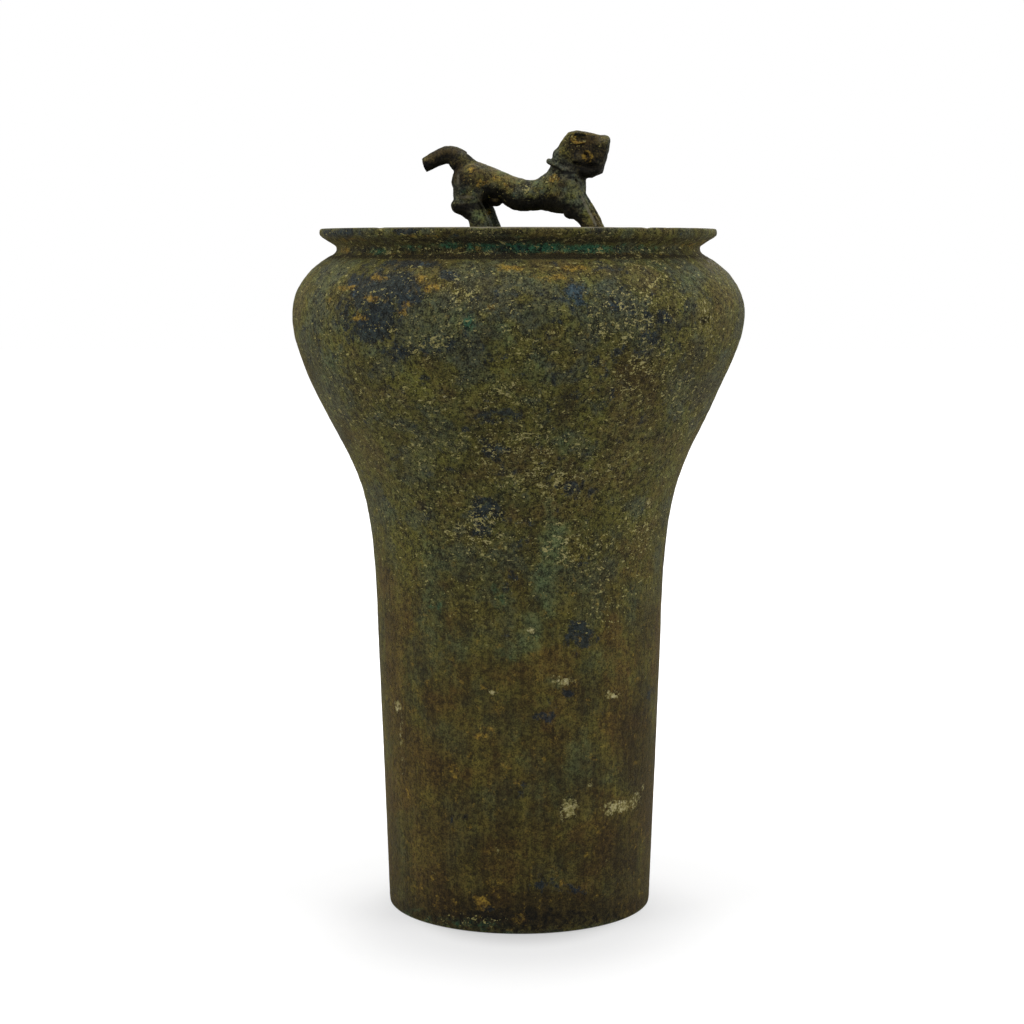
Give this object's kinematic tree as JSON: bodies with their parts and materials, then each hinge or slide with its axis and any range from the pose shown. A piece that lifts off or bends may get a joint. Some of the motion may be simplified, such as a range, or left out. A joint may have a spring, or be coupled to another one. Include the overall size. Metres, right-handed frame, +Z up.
{
  "type": "bronze bell",
  "caption": "Oval hollow bronze bell with swelling shoulder, short neck and dished top, hung by a cast tiger loop.",
  "frame": {"origin": "centre of the oval mouth, in the plane of its lip", "axes": "+Z up from the mouth to the tiger, X along the long side of the oval with the tiger's head towards +X, the pictured face is -Y"},
  "size_m": [0.2706, 0.2354, 0.4698],
  "materials": {
    "bell_bronze": "matt mottled olive and brown patina with blue and green corrosion",
    "tiger_bronze": "dark green-brown patina with ochre patches",
    "spacer_bronze": "corroded bronze with a tan edge",
    "cap_bronze": "rough as-cast bronze, dark"
  },
  "bodies": {
    "root": {"bell_body": "bell_bronze", "tiger_handle": "tiger_bronze", "shoulder_spacer_1": "spacer_bronze", "shoulder_spacer_2": "spacer_bronze", "shoulder_spacer_3": "spacer_bronze", "shoulder_spacer_4": "spacer_bronze", "flare_spacer_1": "spacer_bronze", "flare_spacer_2": "spacer_bronze", "flare_spacer_3": "spacer_bronze", "flare_spacer_4": "spacer_bronze", "barrel_spacer_1": "spacer_bronze", "barrel_spacer_2": "spacer_bronze", "barrel_spacer_3": "spacer_bronze", "barrel_spacer_4": "spacer_bronze", "mouth_spacer_1": "spacer_bronze", "mouth_spacer_2": "spacer_bronze", "mouth_spacer_3": "spacer_bronze", "mouth_spacer_4": "spacer_bronze", "floor_spacer_left": "spacer_bronze", "floor_spacer_right": "spacer_bronze", "tenon_cap_hind_left": "cap_bronze", "tenon_cap_hind_right": "cap_bronze", "tenon_cap_fore_left": "cap_bronze", "tenon_cap_fore_right": "cap_bronze"}
  },
  "joints": []
}
